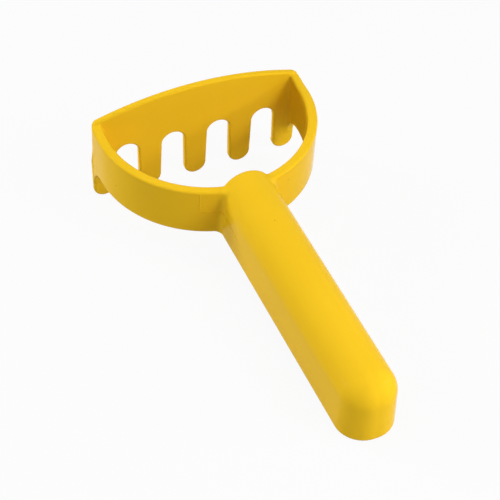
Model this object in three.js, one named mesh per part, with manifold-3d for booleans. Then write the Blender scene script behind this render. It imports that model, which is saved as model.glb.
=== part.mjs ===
// A toy sand rake moulded in one yellow plastic: an upright blade with round-ended tines, a bow that
// runs from one end of the blade to the other, and a hollow half-round handle that passes through
// the bow. The members of the moulding are separate solids that meet on flat faces.
// Millimetres, +Z up, +Y from the handle's end towards the blade, +X to the right seen from the end.

import * as THREE from 'three';
import { mergeVertices } from 'three/addons/utils/BufferGeometryUtils.js';
import Module from 'manifold-3d';

// Head
const headWidth = 100;
const sideRun = 12.7; // straight side of the bow, from the blade's back to the start of the bend
const bowWall = 4.3;
const bowHeight = 23.8; // also the depth of the handle below the rim
const gussetRadius = 10; // hollow curve between the bow's bottom and the face of an outer tine
const gussetDepth = 8; // how far that curve is followed below the bow
const bladeThickness = 3.2;
const bladeCrown = 8.8; // rise of the blade's top edge above the rim, at the middle
const bladeCornerRadius = 2;

// Tines
const tineCount = 5;
const tineWidth = 11.3;
const tineDraft = 0.4; // how much narrower a tine is on each side where its round end begins
const tipDepth = 44.1; // from the rim down to the tine tips
const outerTineRise = 1.2; // how much shorter the first and the last tine are
const gapTopDepth = 15.8; // from the rim down to the round top of a gap

// Handle
const gripWidth = 24.1;
const gripFlare = 0.55; // how much wider the handle is on each side at its bottom edge
const crestRise = 5.1; // height of the handle's crest above the rim
const handleReach = 123.6; // from the bow's outside to the handle's end
const handleWall = 3;
const noseReach = 1.8; // how far the handle's nose stands inside the bow
const neckRun = 4; // how far the neck goes on behind the bow before the grip takes over

// Fineness of round stretches
const bowSteps = 24;
const gussetSteps = 8;
const gapSteps = 16;
const crownSteps = 24;
const cornerSteps = 6;
const handleQuarterSteps = 14;

const plasticColour = 0xf0c022;
const plasticRoughness = 0.32;

// Sizes that follow from the ones above, in a frame with the blade's back at y = 0 and the rim at z = 0
const halfHead = headWidth / 2;
const innerRadius = halfHead - bowWall;
const headDepth = sideRun + halfHead;
const overallLength = headDepth + handleReach;
const tinePitch = (headWidth - tineWidth) / (tineCount - 1);
const gapRadius = (tinePitch - tineWidth) / 2;
const tineRootZ = -(gapTopDepth + gapRadius);
const halfGrip = gripWidth / 2;
const halfFoot = halfGrip + gripFlare; // half the handle's width at its bottom edge
const springZ = crestRise - halfGrip; // where the handle's sides turn into its round top
const noseY = -(headDepth - bowWall - noseReach);
const neckBackY = -(headDepth + neckRun);
const endCentreY = -(overallLength - halfFoot);
const cutMargin = 2; // how far a cutting solid runs past the faces it opens

const wasm = await Module();
wasm.setup();

// A closed geometry as a solid that can be joined and cut. Triangles that shrink to a line are dropped.
function toSolid(geometry) {
  const bare = geometry.clone();
  bare.deleteAttribute('normal');
  bare.deleteAttribute('uv');
  const merged = mergeVertices(bare, 1e-4);
  const index = merged.index.array;
  const triVerts = [];
  for (let i = 0; i < index.length; i += 3) {
    const [a, b, c] = [index[i], index[i + 1], index[i + 2]];
    if (a !== b && b !== c && c !== a) triVerts.push(a, b, c);
  }
  const vertProperties = new Float32Array(merged.attributes.position.array);
  return new wasm.Manifold(new wasm.Mesh({ numProp: 3, vertProperties, triVerts: new Uint32Array(triVerts) }));
}

function toGeometry(solid) {
  const mesh = solid.getMesh();
  const geometry = new THREE.BufferGeometry();
  geometry.setAttribute('position', new THREE.BufferAttribute(new Float32Array(mesh.vertProperties), 3));
  geometry.setIndex(new THREE.BufferAttribute(new Uint32Array(mesh.triVerts), 1));
  geometry.computeVertexNormals();
  return geometry;
}

// An outline in plan (x, y), raised from one height to another
function raise(outline, lowZ, highZ, curveSegments) {
  const geometry = new THREE.ExtrudeGeometry(outline, {
    depth: highZ - lowZ,
    bevelEnabled: false,
    curveSegments,
  });
  geometry.translate(0, 0, lowZ);
  return toSolid(geometry);
}

// An outline seen from the handle's end (x, z), run along y from back to front
function runAlongY(outline, backY, frontY, curveSegments) {
  const geometry = new THREE.ExtrudeGeometry(outline, {
    depth: frontY - backY,
    bevelEnabled: false,
    curveSegments,
  });
  geometry.rotateX(Math.PI / 2);
  geometry.translate(0, frontY, 0);
  return toSolid(geometry);
}

// An outline seen from the right (y, z), run along x from left to right
function runAlongX(outline, leftX, rightX, curveSegments) {
  const geometry = new THREE.ExtrudeGeometry(outline, {
    depth: rightX - leftX,
    bevelEnabled: false,
    curveSegments,
  });
  geometry.rotateX(Math.PI / 2);
  geometry.rotateZ(Math.PI / 2);
  geometry.translate(leftX, 0, 0);
  return toSolid(geometry);
}

// The blade's thickness in plan, with its two back corners rounded, tall enough for blade and tines
function bladePlan() {
  const plan = new THREE.Shape();
  const inset = halfHead - bladeCornerRadius;
  plan.moveTo(-halfHead, -bladeThickness);
  plan.lineTo(halfHead, -bladeThickness);
  plan.absarc(inset, -bladeCornerRadius, bladeCornerRadius, 0, Math.PI / 2, false);
  plan.absarc(-inset, -bladeCornerRadius, bladeCornerRadius, Math.PI / 2, Math.PI, false);
  plan.closePath();
  return raise(plan, -tipDepth - cutMargin, bladeCrown + cutMargin, cornerSteps);
}

// Blade: crowned top edge, and a bottom edge that arches over each gap and stands on each tine
function bladeSolid() {
  const crownRadius = (halfHead * halfHead + bladeCrown * bladeCrown) / (2 * bladeCrown);
  const crownAngle = Math.atan2(crownRadius - bladeCrown, halfHead);
  const outline = new THREE.Shape();
  outline.moveTo(-halfHead, tineRootZ);
  outline.lineTo(-halfHead, 0);
  outline.absarc(0, bladeCrown - crownRadius, crownRadius, Math.PI - crownAngle, crownAngle, true);
  outline.lineTo(halfHead, tineRootZ);
  for (let gap = tineCount - 1; gap > 0; gap -= 1) {
    const gapX = -halfHead + tineWidth + gapRadius + (gap - 1) * tinePitch;
    outline.lineTo(gapX + gapRadius, tineRootZ);
    outline.absarc(gapX, tineRootZ, gapRadius, 0, Math.PI, false);
  }
  outline.closePath();
  return runAlongY(outline, -bladeThickness, 0, crownSteps).intersect(bladePlan());
}

// Tine: hangs from the blade, drawn in a little on both sides, with a full round end
function tineSolid(number) {
  const centreX = -halfHead + tineWidth / 2 + (number - 1) * tinePitch;
  const outermost = number === 1 || number === tineCount;
  const reach = outermost ? tipDepth - outerTineRise : tipDepth;
  const rootHalf = tineWidth / 2;
  const tipRadius = rootHalf - tineDraft;
  const tipCentreZ = -reach + tipRadius;
  const outline = new THREE.Shape();
  outline.moveTo(centreX + rootHalf, tineRootZ);
  outline.lineTo(centreX - rootHalf, tineRootZ);
  outline.lineTo(centreX - tipRadius, tipCentreZ);
  outline.absarc(centreX, tipCentreZ, tipRadius, Math.PI, 2 * Math.PI, false);
  outline.closePath();
  return runAlongY(outline, -bladeThickness, 0, gapSteps).intersect(bladePlan());
}

// The room under the bow: level, then curving down to the face of the outer tines
function roomUnderBow() {
  const turnY = -bladeThickness - gussetRadius;
  const farY = -headDepth - cutMargin;
  const deepZ = -tipDepth - gussetRadius - cutMargin;
  const outline = new THREE.Shape();
  outline.moveTo(farY, -bowHeight);
  outline.lineTo(turnY, -bowHeight);
  outline.absarc(turnY, -bowHeight - gussetRadius, gussetRadius, Math.PI / 2, 0, true);
  outline.lineTo(-bladeThickness, deepZ);
  outline.lineTo(farY, deepZ);
  outline.closePath();
  return runAlongX(outline, -halfHead - cutMargin, halfHead + cutMargin, gussetSteps);
}

// One arm of the bow: straight behind the blade, then round to the flat side of the neck, with a gusset
// on the outer tine. side is 1 for the arm on the right and -1 for its mirror image on the left
function bowArmSolid(side) {
  const outerTurn = Math.acos(halfFoot / halfHead);
  const innerTurn = Math.acos(halfFoot / innerRadius);
  const startAngle = side > 0 ? 0 : Math.PI;
  const rightHand = side > 0;
  const outline = new THREE.Shape();
  outline.moveTo(side * halfHead, -bladeThickness);
  outline.lineTo(side * halfHead, -sideRun);
  outline.absarc(0, -sideRun, halfHead, startAngle, startAngle - side * outerTurn, rightHand);
  outline.absarc(0, -sideRun, innerRadius, startAngle - side * innerTurn, startAngle, !rightHand);
  outline.lineTo(side * innerRadius, -bladeThickness);
  outline.closePath();
  return raise(outline, -bowHeight - gussetDepth, 0, bowSteps).subtract(roomUnderBow());
}

// The stretch of the bow that crosses the handle
function bowMiddle() {
  const outerTurn = Math.acos(halfFoot / halfHead);
  const innerTurn = Math.acos(halfFoot / innerRadius);
  const outline = new THREE.Shape();
  outline.absarc(0, -sideRun, halfHead, -outerTurn, outerTurn - Math.PI, true);
  outline.absarc(0, -sideRun, innerRadius, innerTurn - Math.PI, -innerTurn, false);
  outline.closePath();
  return raise(outline, -bowHeight, 0, bowSteps);
}

// Half the handle's width at a height below the spring, where its sides lean out
function halfWidthAt(z) {
  return halfGrip + (gripFlare * (springZ - z)) / (springZ + bowHeight);
}

// Cross-section of the handle: leaning sides under a half-round top, drawn in by an inset for the hollow
function handleSection(inset, bottomZ) {
  const half = halfGrip - inset;
  const bottomHalf = halfWidthAt(bottomZ) - inset;
  const section = new THREE.Shape();
  section.moveTo(-bottomHalf, bottomZ);
  section.lineTo(-half, springZ);
  section.absarc(0, springZ, half, Math.PI, 0, true);
  section.lineTo(bottomHalf, bottomZ);
  section.closePath();
  return section;
}

// The handle's round end: the same section turned about the upright line through its middle
function handleEndRound(inset, bottomZ) {
  const half = halfGrip - inset;
  const profile = [new THREE.Vector2(0, bottomZ)];
  profile.push(new THREE.Vector2(halfWidthAt(bottomZ) - inset, bottomZ));
  for (let step = 0; step <= handleQuarterSteps; step += 1) {
    const angle = (step / handleQuarterSteps) * (Math.PI / 2);
    const radius = step === handleQuarterSteps ? 0 : half * Math.cos(angle);
    profile.push(new THREE.Vector2(radius, springZ + half * Math.sin(angle)));
  }
  const geometry = new THREE.LatheGeometry(profile, 4 * handleQuarterSteps);
  geometry.rotateX(Math.PI / 2);
  geometry.translate(0, endCentreY, 0);
  return toSolid(geometry);
}

// Neck: the nose inside the bow, the bow's middle stretch and the start of the handle, open underneath
function neckSolid() {
  const sectionSteps = 2 * handleQuarterSteps;
  const outside = runAlongY(handleSection(0, -bowHeight), neckBackY, noseY, sectionSteps);
  const hollowSection = handleSection(handleWall, -bowHeight - cutMargin);
  const hollow = runAlongY(hollowSection, neckBackY - cutMargin, noseY - handleWall, sectionSteps);
  return outside.add(bowMiddle()).subtract(hollow);
}

// Grip: the long hollow stretch with the round end, open underneath
function gripSolid() {
  const sectionSteps = 2 * handleQuarterSteps;
  const outside = runAlongY(handleSection(0, -bowHeight), endCentreY, neckBackY, sectionSteps);
  const hollowBottom = -bowHeight - cutMargin;
  const hollowSection = handleSection(handleWall, hollowBottom);
  const hollow = runAlongY(hollowSection, endCentreY, neckBackY + cutMargin, sectionSteps);
  const whole = outside.add(handleEndRound(0, -bowHeight));
  return whole.subtract(hollow.add(handleEndRound(handleWall, hollowBottom)));
}

const rake = new THREE.Group();
rake.position.set(0, overallLength / 2, tipDepth);

function addMember(name, solid) {
  const material = new THREE.MeshStandardMaterial({
    color: plasticColour,
    roughness: plasticRoughness,
    metalness: 0,
  });
  const mesh = new THREE.Mesh(toGeometry(solid), material);
  mesh.name = name;
  rake.add(mesh);
}

addMember('blade', bladeSolid());
for (let number = 1; number <= tineCount; number += 1) addMember(`tine_${number}`, tineSolid(number));
addMember('bow_left', bowArmSolid(-1));
addMember('bow_right', bowArmSolid(1));
addMember('handle_neck', neckSolid());
addMember('handle_grip', gripSolid());

export default rake;
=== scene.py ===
import math

import bmesh
import bpy
import numpy as np
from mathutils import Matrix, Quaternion, Vector


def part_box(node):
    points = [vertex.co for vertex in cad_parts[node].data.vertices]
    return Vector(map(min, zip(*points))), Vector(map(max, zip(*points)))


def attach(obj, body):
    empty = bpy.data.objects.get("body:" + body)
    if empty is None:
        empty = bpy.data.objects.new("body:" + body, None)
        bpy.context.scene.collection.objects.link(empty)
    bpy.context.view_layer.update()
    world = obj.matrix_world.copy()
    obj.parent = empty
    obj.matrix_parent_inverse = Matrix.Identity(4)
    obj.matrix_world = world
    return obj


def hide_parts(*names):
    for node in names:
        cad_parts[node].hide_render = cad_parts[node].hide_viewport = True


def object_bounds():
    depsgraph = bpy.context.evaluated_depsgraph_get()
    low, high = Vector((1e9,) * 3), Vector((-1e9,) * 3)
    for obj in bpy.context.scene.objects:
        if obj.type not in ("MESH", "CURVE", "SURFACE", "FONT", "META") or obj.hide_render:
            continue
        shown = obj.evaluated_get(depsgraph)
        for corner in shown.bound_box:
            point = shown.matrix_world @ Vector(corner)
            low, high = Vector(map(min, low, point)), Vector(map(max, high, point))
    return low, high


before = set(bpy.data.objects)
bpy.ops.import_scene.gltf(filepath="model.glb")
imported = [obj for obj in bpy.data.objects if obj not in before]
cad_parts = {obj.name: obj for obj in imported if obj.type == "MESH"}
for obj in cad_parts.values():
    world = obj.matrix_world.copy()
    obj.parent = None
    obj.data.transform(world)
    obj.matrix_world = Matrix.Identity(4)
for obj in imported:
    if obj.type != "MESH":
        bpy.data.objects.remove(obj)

# Toy sand rake, one yellow moulding: a blade with tines, a bow behind it, a hollow handle through the bow.
# Metres in the frame of the solids: +Y from the handle's end to the blade, +Z up, tine tips at z = 0.

mm = 0.001
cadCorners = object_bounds()
print("frame loaded:", len(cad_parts), "solids")

# Sizes taken from the solids
bladeLow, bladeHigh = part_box("blade")
armLow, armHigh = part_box("bow_right")
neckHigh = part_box("handle_neck")[1]
gripLow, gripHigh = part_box("handle_grip")
tineNodes = sorted(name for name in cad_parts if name.startswith("tine_"))
tineBoxes = [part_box(name) for name in tineNodes]

halfHead = bladeHigh.x
bladeBackY = bladeHigh.y
bladeFaceY = bladeLow.y  # face of the blade inside the bow
rimZ = armHigh.z
footZ = gripLow.z  # bottom of the bow and of the handle
halfFoot = gripHigh.x  # half the handle's width at its bottom edge
bendY = armLow.y + math.sqrt(halfHead ** 2 - halfFoot ** 2)  # centre of the bow's half circle
noseY = neckHigh.y
neckBackY = gripHigh.y


def roundedCorner(a, b, radius):  # inside both a and b, with the edge between them rounded off
    outside = np.hypot(np.maximum(a + radius, 0), np.maximum(b + radius, 0))
    return np.minimum(np.maximum(a, b), -radius) + outside


def filletedJoin(a, b, radius):  # inside a or b, with a hollow fillet where they meet
    inside = np.hypot(np.maximum(radius - a, 0), np.maximum(radius - b, 0))
    return np.maximum(np.minimum(a, b), radius) - inside


# Blade with its tines, cut from one plate
comb = {
    "edgeRound": 1.0 * mm,
    "topCornerRound": 1.2 * mm,
    "endLift": 0.9 * mm,  # of the blade's ends over the bow's rim, which sweeps up to them
    "endSweep": 9.0 * mm,
    "backCornerRound": 4.4 * mm,  # along the blade, less along the outer tines
    "tineCornerRound": 1.6 * mm,
    "cornerBlend": 8.0 * mm,
    "tineDraft": 0.4 * mm,  # drawn in on each side down to the round end
}


def combField(x, y, z):
    firstTineX = (tineBoxes[0][0].x + tineBoxes[0][1].x) / 2
    lastTineX = (tineBoxes[-1][0].x + tineBoxes[-1][1].x) / 2
    rootHalf = (tineBoxes[0][1].x - tineBoxes[0][0].x) / 2
    lastNumber = len(tineBoxes) - 1
    pitch = (lastTineX - firstTineX) / lastNumber
    gapRadius = pitch / 2 - rootHalf
    rootZ = bladeLow.z
    tipRadius = rootHalf - comb["tineDraft"]
    along = (x - firstTineX) / pitch
    number = np.clip(np.round(along), 0, lastNumber)
    outermost = (number == 0) | (number == lastNumber)
    tipCentreZ = np.where(outermost, tineBoxes[0][0].z, tineBoxes[1][0].z) + tipRadius
    tineX = firstTineX + pitch * number
    gapX = firstTineX + pitch * (np.clip(np.floor(along), 0, lastNumber - 1) + 0.5)
    crown = bladeHigh.z - rimZ - comb["endLift"]
    crownRadius = (halfHead ** 2 + crown ** 2) / (2 * crown)
    top = np.hypot(x, z - (bladeHigh.z - crownRadius)) - crownRadius
    plate = roundedCorner(top, np.abs(x) - halfHead, comb["topCornerRound"])
    blade = np.maximum(plate, gapRadius - np.hypot(x - gapX, z - rootZ))
    drawnIn = comb["tineDraft"] * (rootZ - z) / (rootZ - tipCentreZ)
    tine = np.abs(x - tineX) - (rootHalf - drawnIn)
    tip = np.hypot(x - tineX, z - tipCentreZ) - tipRadius
    outline = np.where(z >= rootZ, blade, np.where(z >= tipCentreZ, tine, tip))
    halfThick = (bladeBackY - bladeFaceY) / 2
    slab = np.abs(y - bladeBackY + halfThick) - halfThick
    body = roundedCorner(outline, slab, comb["edgeRound"])
    outward = np.maximum(np.abs(x) - lastTineX, 0)
    outerSide = np.where(z >= tipCentreZ, tine, np.hypot(outward, z - tipCentreZ) - tipRadius)
    outerSide = np.where(outermost & (z < rootZ), outerSide, np.abs(x) - halfHead)
    return np.maximum(body, roundedCorner(outerSide, y - bladeBackY, backCorner(z)))


def backCorner(z):
    share = np.clip((z - bladeLow.z) / comb["cornerBlend"], 0, 1)
    return comb["tineCornerRound"] + (comb["backCornerRound"] - comb["tineCornerRound"]) * share


# Bow, a flat band on edge from one end of the blade to the other
bow = {
    "wall": 4.3 * mm,
    "draft": 0.3 * mm,  # drawn in on each side down to the bottom
    "draftReach": 1.5,  # of the bow's height, so that the gussets are drawn in too
    "rimRound": 1.1 * mm,
    "footRound": 0.6 * mm,
    "cornerFillet": 2.2 * mm,  # against the blade
    "filletInset": 1.0 * mm,  # it runs out from this far inside the wall to the outside
    "filletFade": 3.0 * mm,  # and from this far below the rim up to it
    "filletOutside": 0.02,  # share of it that is left at the outside
    "filletAtRim": 0.3,  # and at the rim
    "gussetRadius": 10.0 * mm,  # between the bottom and the outer tines
}


def bowRadius(x, y):
    return np.where(y < bendY, np.hypot(x, y - bendY), np.abs(x))


def bowField(x, y, z):
    halfWall = bow["wall"] / 2
    drawnIn = bow["draft"] * np.clip((rimZ - z) / (rimZ - footZ), 0, bow["draftReach"])
    band = np.abs(bowRadius(x, y) - halfHead + halfWall) - halfWall + drawnIn
    corners = roundedCorner(np.abs(x) - halfHead, y - bladeBackY, backCorner(z))
    band = np.maximum(np.maximum(band, corners), y - (bladeBackY + bladeFaceY) / 2)
    sweep = np.clip((y - bladeFaceY) / comb["endSweep"] + 1, 0, 1)
    return roundedCorner(band, z - rimZ - comb["endLift"] * sweep ** 2, bow["rimRound"])


# Handle, a half-round trough open underneath, its nose standing a little inside the bow
handle = {
    "wall": 3.0 * mm,
    "flare": 0.55 * mm,  # each side leans out down to the bottom edge
    "endSquare": 0.8 * mm,  # flat stretch at the middle of the round end, on each side
    "noseRound": 2.0 * mm,
    "outerFillet": 2.7 * mm,  # against the outside of the bow
    "innerFillet": 0.6 * mm,  # beside the nose
}
halfGrip = halfFoot - handle["flare"]
springZ = gripHigh.z - halfGrip  # where the handle's sides turn into its round top
endCentreY = gripLow.y + halfFoot - handle["endSquare"]


def archField(x, y, z):
    flat = handle["endSquare"]
    turned = np.hypot(np.maximum(np.abs(x) - flat, 0), y - endCentreY) + flat
    across = np.where(y < endCentreY, turned, np.abs(x))
    leaning = handle["flare"] * np.maximum(springZ - z, 0) / (springZ - footZ)
    return np.hypot(across, np.maximum(z - springZ, 0)) - halfGrip - leaning


def rakeField(x, y, z):
    arch = archField(x, y, z)
    handleBody = roundedCorner(arch, y - noseY, handle["noseRound"])
    through = np.clip((bowRadius(x, y) - halfHead + bow["wall"]) / bow["wall"], 0, 1)
    fillet = handle["innerFillet"] + (handle["outerFillet"] - handle["innerFillet"]) * through
    body = filletedJoin(handleBody, bowField(x, y, z), fillet)
    bottom = filletedJoin(footZ - z, bladeFaceY - y, bow["gussetRadius"])
    bottom = np.maximum(bottom, footZ - bow["gussetRadius"] - z)
    body = roundedCorner(body, bottom, bow["footRound"])
    hollow = np.maximum(arch, y - noseY) + handle["wall"]
    body = roundedCorner(body, -hollow, bow["footRound"])
    filletRun = bow["wall"] + bow["filletInset"]
    inward = np.clip((halfHead - np.abs(x)) / filletRun, bow["filletOutside"], 1)
    below = np.clip((rimZ - z) / bow["filletFade"], bow["filletAtRim"], 1)
    whole = filletedJoin(combField(x, y, z), body, bow["cornerFillet"] * inward * below)
    return np.maximum(whole, np.abs(x) - halfHead)


def slopeAt(points):  # gradient of the field, which points outward on the surface
    reach = 0.01 * mm
    slope = np.zeros_like(points)
    for axis in range(3):
        shift = np.zeros(3)
        shift[axis] = reach
        ahead = rakeField(*(points + shift).T)
        behind = rakeField(*(points - shift).T)
        slope[:, axis] = (ahead - behind) / (2 * reach)
    return slope


def normalsAt(points):
    slope = slopeAt(points)
    return slope / np.maximum(np.linalg.norm(slope, axis=1, keepdims=True), 1e-9)


def pulledOntoSurface(points, rounds=5):
    leastSlope = 0.5
    points = points.copy()
    for _ in range(rounds):
        slope = slopeAt(points)
        steep = np.maximum((slope ** 2).sum(axis=1), leastSlope ** 2)
        points -= slope * (rakeField(*points.T) / steep)[:, None]
    return points


# Skin over the field: one point in each grid cell that the surface crosses, four-sided faces between them
skin = {
    "step": 0.5 * mm,
    "lead": 1.37,  # steps before the box, so that no flat face falls on a grid plane
    "trail": 2.0,
    "hold": 0.3,  # how firmly a point stays at the middle of its cell's crossings
}


def gridSkin():
    step = skin["step"]
    low, high = (np.array(corner) for corner in cadCorners)
    axes = [np.arange(low[a] - skin["lead"] * step, high[a] + skin["trail"] * step, step) for a in range(3)]
    slices = [rakeField(axes[0][:, None], y, axes[2][None, :]) for y in axes[1]]
    values = np.stack(slices, axis=1)
    start = np.array([axis[0] for axis in axes])
    shape = np.array(values.shape)
    inside = values < 0
    points, cells, flips = [], [], []
    for axis in range(3):
        ahead = np.roll(values, -1, axis=axis)
        index = np.argwhere(inside != (ahead < 0))
        here = values[tuple(index.T)]
        there = ahead[tuple(index.T)]
        cross = start + index * step
        cross[:, axis] += step * here / (here - there)
        around = np.zeros((len(index), 4), int)
        u, v = (axis + 1) % 3, (axis + 2) % 3
        for corner, (du, dv) in enumerate(((-1, -1), (0, -1), (0, 0), (-1, 0))):
            cell = index.copy()
            cell[:, u] += du
            cell[:, v] += dv
            around[:, corner] = np.ravel_multi_index(tuple(cell.T), tuple(shape))
        points.append(cross)
        cells.append(around)
        flips.append(here > 0)
    points = np.concatenate(points)
    cells = np.concatenate(cells)
    flips = np.concatenate(flips)
    names, faces = np.unique(cells, return_inverse=True)
    faces = faces.reshape(cells.shape)
    normals = normalsAt(points)
    owner = faces.ravel()
    facing = np.repeat(normals, 4, axis=0)
    offset = np.repeat((normals * points).sum(axis=1), 4)

    def perCell(weights):
        return np.bincount(owner, weights=weights, minlength=len(names))

    count = perCell(None)
    spread = np.repeat(points, 4, axis=0)
    middle = np.stack([perCell(spread[:, a]) for a in range(3)], axis=1) / count[:, None]
    square = np.array([[perCell(facing[:, a] * facing[:, b]) for b in range(3)] for a in range(3)])
    square = np.moveaxis(square, 2, 0)
    pull = np.stack([perCell(facing[:, a] * offset) for a in range(3)], axis=1)
    pull -= np.einsum("nab,nb->na", square, middle)
    square = square + np.eye(3) * (skin["hold"] * count)[:, None, None]
    corners = middle + np.linalg.solve(square, pull[:, :, None])[:, :, 0]
    cellLow = start + np.stack(np.unravel_index(names, tuple(shape)), axis=1) * step
    corners = np.clip(corners, cellLow, cellLow + step)
    faces[flips] = faces[flips][:, ::-1]
    return np.clip(pulledOntoSurface(corners), low, high), faces


skinPoints, skinFaces = gridSkin()
print("skin:", len(skinPoints), "points,", len(skinFaces), "faces")

wholeSkin = bmesh.new()
skinMesh = bpy.data.meshes.new("wholeSkin")
skinMesh.from_pydata(skinPoints.tolist(), [], skinFaces.tolist())
wholeSkin.from_mesh(skinMesh)
bpy.data.meshes.remove(skinMesh)
for face in wholeSkin.faces:
    face.smooth = True


def keptBeyond(source, point, normal):  # what lies beyond a plane, closed there with a flat face
    part = source.copy()
    everything = part.verts[:] + part.edges[:] + part.faces[:]
    bmesh.ops.bisect_plane(
        part, geom=everything, dist=1e-8, plane_co=point, plane_no=normal, clear_inner=True
    )
    openEdges = [edge for edge in part.edges if edge.is_boundary]
    closing = bmesh.ops.holes_fill(part, edges=openEdges, sides=0)["faces"]
    for face in closing:
        face.smooth = False
    bmesh.ops.triangulate(part, faces=closing)
    return part


def addPiece(name, part, node, material):
    mesh = bpy.data.meshes.new(name)
    part.to_mesh(mesh)
    loops = len(mesh.loops)
    corner = np.zeros(loops, int)
    mesh.loops.foreach_get("vertex_index", corner)
    points = np.zeros(len(mesh.vertices) * 3)
    mesh.vertices.foreach_get("co", points)
    facing = normalsAt(points.reshape(-1, 3))[corner]
    for face in mesh.polygons:
        if not face.use_smooth:
            facing[list(face.loop_indices)] = face.normal
    mesh.normals_split_custom_set(facing.tolist())
    placePiece(name, mesh, node, material)


def placePiece(name, mesh, node, material):
    mesh.materials.append(material)
    piece = bpy.data.objects.new(name, mesh)
    bpy.context.scene.collection.objects.link(piece)
    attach(piece, "root")
    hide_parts(node)


# Smooth yellow plastic with fine brown specks
plastic = {
    "deepYellow": (0.79, 0.485, 0.014, 1),
    "paleYellow": (0.81, 0.500, 0.016, 1),
    "speckBrown": (0.30, 0.16, 0.010, 1),
    "speckScale": 150.0,
    "speckShare": 0.7,  # of the cells that stay clean
    "speckCore": 0.02,  # of a cell
    "speckEdge": 0.05,
    "cloudScale": 28.0,
    "cloudDetail": 3,
    "cloudLow": 0.35,
    "cloudHigh": 0.65,
    "grainScale": 900.0,
    "grainDetail": 2,
    "grainDepth": 0.01 * mm,
    "grainStrength": 0.1,
    "smoothest": 0.07,
    "roughest": 0.11,
    "specular": 0.02,  # barely a shine at a steep angle, as in the photograph
    "refraction": 1.45,
}


def makePlastic():
    material = bpy.data.materials.new("yellowPlastic")
    material.use_nodes = True
    nodes = material.node_tree.nodes
    links = material.node_tree.links
    shader = nodes["Principled BSDF"]
    place = nodes.new("ShaderNodeTexCoord")
    cloud = nodes.new("ShaderNodeTexNoise")
    cloud.inputs["Scale"].default_value = plastic["cloudScale"]
    cloud.inputs["Detail"].default_value = plastic["cloudDetail"]
    links.new(place.outputs["Object"], cloud.inputs["Vector"])
    tone = nodes.new("ShaderNodeValToRGB")
    tone.color_ramp.elements[0].position = plastic["cloudLow"]
    tone.color_ramp.elements[0].color = plastic["deepYellow"]
    tone.color_ramp.elements[1].position = plastic["cloudHigh"]
    tone.color_ramp.elements[1].color = plastic["paleYellow"]
    links.new(cloud.outputs["Fac"], tone.inputs["Fac"])
    speck = nodes.new("ShaderNodeTexVoronoi")
    speck.inputs["Scale"].default_value = plastic["speckScale"]
    links.new(place.outputs["Object"], speck.inputs["Vector"])
    core = nodes.new("ShaderNodeMapRange")
    core.inputs["From Min"].default_value = plastic["speckCore"]
    core.inputs["From Max"].default_value = plastic["speckEdge"]
    core.inputs["To Min"].default_value = 1
    core.inputs["To Max"].default_value = 0
    links.new(speck.outputs["Distance"], core.inputs["Value"])
    draw = nodes.new("ShaderNodeSeparateColor")
    links.new(speck.outputs["Color"], draw.inputs["Color"])
    rare = nodes.new("ShaderNodeMath")
    rare.operation = "GREATER_THAN"
    rare.inputs[1].default_value = plastic["speckShare"]
    links.new(draw.outputs["Red"], rare.inputs[0])
    amount = nodes.new("ShaderNodeMath")
    amount.operation = "MULTIPLY"
    links.new(core.outputs["Result"], amount.inputs[0])
    links.new(rare.outputs[0], amount.inputs[1])
    dotted = nodes.new("ShaderNodeMixRGB")
    dotted.inputs["Color2"].default_value = plastic["speckBrown"]
    links.new(amount.outputs[0], dotted.inputs["Fac"])
    links.new(tone.outputs["Color"], dotted.inputs["Color1"])
    links.new(dotted.outputs["Color"], shader.inputs["Base Color"])
    polish = nodes.new("ShaderNodeMapRange")
    polish.inputs["To Min"].default_value = plastic["smoothest"]
    polish.inputs["To Max"].default_value = plastic["roughest"]
    links.new(cloud.outputs["Fac"], polish.inputs["Value"])
    links.new(polish.outputs["Result"], shader.inputs["Roughness"])
    grain = nodes.new("ShaderNodeTexNoise")
    grain.inputs["Scale"].default_value = plastic["grainScale"]
    grain.inputs["Detail"].default_value = plastic["grainDetail"]
    links.new(place.outputs["Object"], grain.inputs["Vector"])
    bump = nodes.new("ShaderNodeBump")
    bump.inputs["Strength"].default_value = plastic["grainStrength"]
    bump.inputs["Distance"].default_value = plastic["grainDepth"]
    links.new(grain.outputs["Fac"], bump.inputs["Height"])
    links.new(bump.outputs["Normal"], shader.inputs["Normal"])
    shader.inputs["Specular IOR Level"].default_value = plastic["specular"]
    shader.inputs["IOR"].default_value = plastic["refraction"]
    return material


yellowPlastic = makePlastic()

# The moulding cut into its members, a little clear of the fillets
cuts = {
    "behindBlade": 2.3 * mm,
    "besideHandle": 3.0 * mm,
}
right, back, up = Vector((1, 0, 0)), Vector((0, 1, 0)), Vector((0, 0, 1))
bladeCut = Vector((0, bladeFaceY - cuts["behindBlade"], 0))
tineCut = Vector((0, 0, bladeLow.z))
neckCut = Vector((0, neckBackY, 0))
armCutX = halfFoot + cuts["besideHandle"]

combSkin = keptBeyond(wholeSkin, bladeCut, back)
addPiece("bladePlate", keptBeyond(combSkin, tineCut, up), "blade", yellowPlastic)
tinesSkin = keptBeyond(combSkin, tineCut, -up)
pitchX = tineBoxes[1][0].x - tineBoxes[0][0].x
for number, (node, (tineLow, tineHigh)) in enumerate(zip(tineNodes, tineBoxes), 1):
    middleX = (tineLow.x + tineHigh.x) / 2
    oneTine = keptBeyond(tinesSkin, Vector((middleX - pitchX / 2, 0, 0)), right)
    oneTine = keptBeyond(oneTine, Vector((middleX + pitchX / 2, 0, 0)), -right)
    addPiece(f"tineProng{number}", oneTine, node, yellowPlastic)
rearSkin = keptBeyond(wholeSkin, bladeCut, -back)
addPiece("bowArmRight", keptBeyond(rearSkin, right * armCutX, right), "bow_right", yellowPlastic)
addPiece("bowArmLeft", keptBeyond(rearSkin, -right * armCutX, -right), "bow_left", yellowPlastic)
middleSkin = keptBeyond(keptBeyond(rearSkin, right * armCutX, -right), -right * armCutX, right)
addPiece("handleNeck", keptBeyond(middleSkin, neckCut, back), "handle_neck", yellowPlastic)
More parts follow.
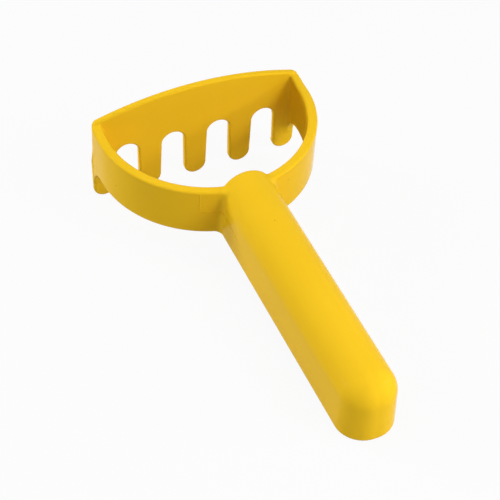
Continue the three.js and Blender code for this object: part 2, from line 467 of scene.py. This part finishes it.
addPiece("handleGrip", keptBeyond(middleSkin, neckCut, -back), "handle_grip", yellowPlastic)

# Parting line of the mould, seen on the left: a fine thread down the bow, then level and on to the handle
seam = {
    "radius": 0.22 * mm,
    "angle": 25.0,  # round the bow from its middle
    "depth": 11.0 * mm,  # of the level stretch below the rim
    "fall": 2.0 * mm,  # along the handle
    "run": 16.0 * mm,
    "taper": 5.0 * mm,
    "thinnest": 0.1,  # share of the radius at its far end
    "belowRim": 0.6 * mm,  # where it starts
    "besideGrip": 1.0 * mm,  # where it turns onto the handle
    "steps": (24, 24, 30),  # down, level, along the handle
    "pulls": 12,  # rounds that bring it onto the skin
    "sides": 8,  # of the thread
}


def seamPath():
    turn = math.radians(seam["angle"])
    low = rimZ - seam["depth"]
    downSteps, levelSteps, alongSteps = seam["steps"]
    path = []
    for z in np.linspace(rimZ - seam["belowRim"], low, downSteps):
        path.append((-halfHead * math.sin(turn), bendY - halfHead * math.cos(turn), z))
    besideHandle = math.asin((halfGrip + seam["besideGrip"]) / halfHead)
    for a in np.linspace(turn, besideHandle, levelSteps)[1:]:
        path.append((-halfHead * math.sin(a), bendY - halfHead * math.cos(a), low))
    startY = bendY - halfHead - seam["besideGrip"]
    for share in np.linspace(0, 1, alongSteps):
        path.append((-halfGrip, startY - seam["run"] * share, low - seam["fall"] * share))
    return pulledOntoSurface(np.array(path), seam["pulls"])


def addSeam(name, node):
    path = seamPath()
    along = np.gradient(path, axis=0)
    along /= np.linalg.norm(along, axis=1, keepdims=True)
    outward = normalsAt(path)
    across = np.cross(along, outward)
    across /= np.linalg.norm(across, axis=1, keepdims=True)
    lengths = np.linalg.norm(np.diff(path, axis=0), axis=1)
    left = lengths.sum() - np.concatenate(([0], np.cumsum(lengths)))
    radius = seam["radius"] * np.clip(left / seam["taper"], seam["thinnest"], 1)
    sides = seam["sides"]
    points, faces = [], []
    for k in range(sides):
        a = 2 * math.pi * k / sides
        points.append(path + (math.cos(a) * outward + math.sin(a) * across) * radius[:, None])
    points = np.stack(points, axis=1).reshape(-1, 3)
    for row in range(len(path) - 1):
        for k in range(sides):
            here, after = row * sides + k, row * sides + (k + 1) % sides
            faces.append((here, here + sides, after + sides, after))
    faces.append(tuple(range(sides)))
    faces.append(tuple(len(points) - 1 - k for k in range(sides)))
    mesh = bpy.data.meshes.new(name)
    mesh.from_pydata(points.tolist(), [], faces)
    mesh.polygons.foreach_set("use_smooth", [True] * len(faces))
    placePiece(name, mesh, node, yellowPlastic)


addSeam("seamLeft", "bow_left")
print("parting line made")

# Floor, tipped so that the rake stands on its tine tips and on the end of its handle
floor = {
    "reach": 3.0,
    "clear": 0.05 * mm,  # below the points that it carries
    "white": (0.55, 0.55, 0.55, 1),
    "veil": 0.93,  # share of plain white where it is seen directly, so that the shadow is faint
}


def seenDirectly(nodes, links):  # 1 where the camera, a reflection or a see-through part looks
    path = nodes.new("ShaderNodeLightPath")
    either = nodes.new("ShaderNodeMath")
    either.operation = "MAXIMUM"
    links.new(path.outputs["Is Camera Ray"], either.inputs[0])
    links.new(path.outputs["Is Glossy Ray"], either.inputs[1])
    anyOf = nodes.new("ShaderNodeMath")
    anyOf.operation = "MAXIMUM"
    links.new(either.outputs[0], anyOf.inputs[0])
    links.new(path.outputs["Is Transmission Ray"], anyOf.inputs[1])
    return anyOf.outputs[0]


def makeFloor():
    tipY = (bladeBackY + bladeFaceY) / 2
    rise = footZ / (gripLow.y - tipY)
    reach = floor["reach"]
    corners = []
    for x, y in ((-reach, -reach), (reach, -reach), (reach, reach), (-reach, reach)):
        corners.append((x, y, rise * (y - tipY) - floor["clear"]))
    mesh = bpy.data.meshes.new("floor")
    mesh.from_pydata(corners, [], [(0, 1, 2, 3)])
    plane = bpy.data.objects.new("floor", mesh)
    bpy.context.scene.collection.objects.link(plane)
    material = bpy.data.materials.new("paleFloor")
    material.use_nodes = True
    nodes = material.node_tree.nodes
    links = material.node_tree.links
    nodes.remove(nodes["Principled BSDF"])
    matt = nodes.new("ShaderNodeBsdfDiffuse")
    matt.inputs["Color"].default_value = floor["white"]
    glow = nodes.new("ShaderNodeEmission")
    veil = nodes.new("ShaderNodeMath")
    veil.operation = "MULTIPLY"
    veil.inputs[1].default_value = floor["veil"]
    links.new(seenDirectly(nodes, links), veil.inputs[0])
    mix = nodes.new("ShaderNodeMixShader")
    links.new(veil.outputs[0], mix.inputs["Fac"])
    links.new(matt.outputs[0], mix.inputs[1])
    links.new(glow.outputs[0], mix.inputs[2])
    links.new(mix.outputs[0], nodes["Material Output"].inputs["Surface"])
    mesh.materials.append(material)


makeFloor()

# Soft studio light
studio = {
    "ambient": 0.19,  # of the white air, where it isn't seen directly
    "panels": (  # name, azimuth, elevation, distance, size, share of full light
        ("keyPanel", 38, 42, 1.0, 0.40, 0.49),
        ("frontPanel", 14, 24, 1.0, 0.50, 0.10),
        ("endPanel", -10, 22, 0.36, 0.14, 0.06),
        ("topPanel", 0, 86, 1.0, 1.00, 0.41),
        ("rearPanel", -142, 22, 1.0, 0.30, 0.44),
    ),
    "glints": (  # smaller lamps that leave the bright spots on the handle's end
        ("leftGlint", -114.5, 9.5, 1.0, 0.12, 0.25),
        ("rightGlint", 62.5, 21.3, 1.0, 0.14, 0.23),
    ),
}


def makeLight():
    middle = (cadCorners[0] + cadCorners[1]) / 2
    for name, azimuth, elevation, away, size, share in studio["panels"] + studio["glints"]:
        a, e = math.radians(azimuth), math.radians(elevation)
        towards = Vector((math.sin(a) * math.cos(e), -math.cos(a) * math.cos(e), math.sin(e)))
        lamp = bpy.data.lights.new(name, "AREA")
        lamp.shape = "DISK"
        lamp.size = size
        lamp.energy = share * (math.pi * away) ** 2  # at share 1 a small lamp makes a white face white
        panel = bpy.data.objects.new(name, lamp)
        panel.location = middle + towards * away
        panel.rotation_mode = "QUATERNION"
        panel.rotation_quaternion = towards.to_track_quat("Z", "Y")
        panel.visible_camera = False
        panel.visible_glossy = name.endswith("Glint")
        bpy.context.scene.collection.objects.link(panel)
    world = bpy.data.worlds.new("studioAir")
    world.use_nodes = True
    bpy.context.scene.world = world
    nodes = world.node_tree.nodes
    links = world.node_tree.links
    level = nodes.new("ShaderNodeMapRange")
    level.inputs["To Min"].default_value = studio["ambient"]
    links.new(seenDirectly(nodes, links), level.inputs["Value"])
    links.new(level.outputs["Result"], nodes["Background"].inputs["Strength"])
    nodes["Background"].inputs["Color"].default_value = (1, 1, 1, 1)


makeLight()
print("floor and light set")

# Camera at the photograph's view
shot = {
    "target": (-10.736 * mm, 5.618 * mm, 34.1 * mm),
    "azimuth": -26.082,
    "elevation": 46.489,
    "roll": 3.226,
    "away": 682.386 * mm,
    "sensor": 36.0,
    "focalPixels": 1635.235,
    "framePixels": 500,
}


def makeCamera():
    lens = bpy.data.cameras.new("photoView")
    lens.sensor_width = shot["sensor"]
    lens.lens = shot["sensor"] * shot["focalPixels"] / shot["framePixels"]
    a, e = math.radians(shot["azimuth"]), math.radians(shot["elevation"])
    towards = Vector((math.sin(a) * math.cos(e), -math.cos(a) * math.cos(e), math.sin(e)))
    camera = bpy.data.objects.new("photoView", lens)
    camera.location = Vector(shot["target"]) + towards * shot["away"]
    camera.rotation_mode = "QUATERNION"
    tilt = Quaternion((0, 0, 1), math.radians(shot["roll"]))
    camera.rotation_quaternion = (-towards).to_track_quat("-Z", "Y") @ tilt
    bpy.context.scene.collection.objects.link(camera)
    bpy.context.scene.camera = camera


makeCamera()
bpy.context.scene.view_settings.view_transform = "Standard"
print("camera set")
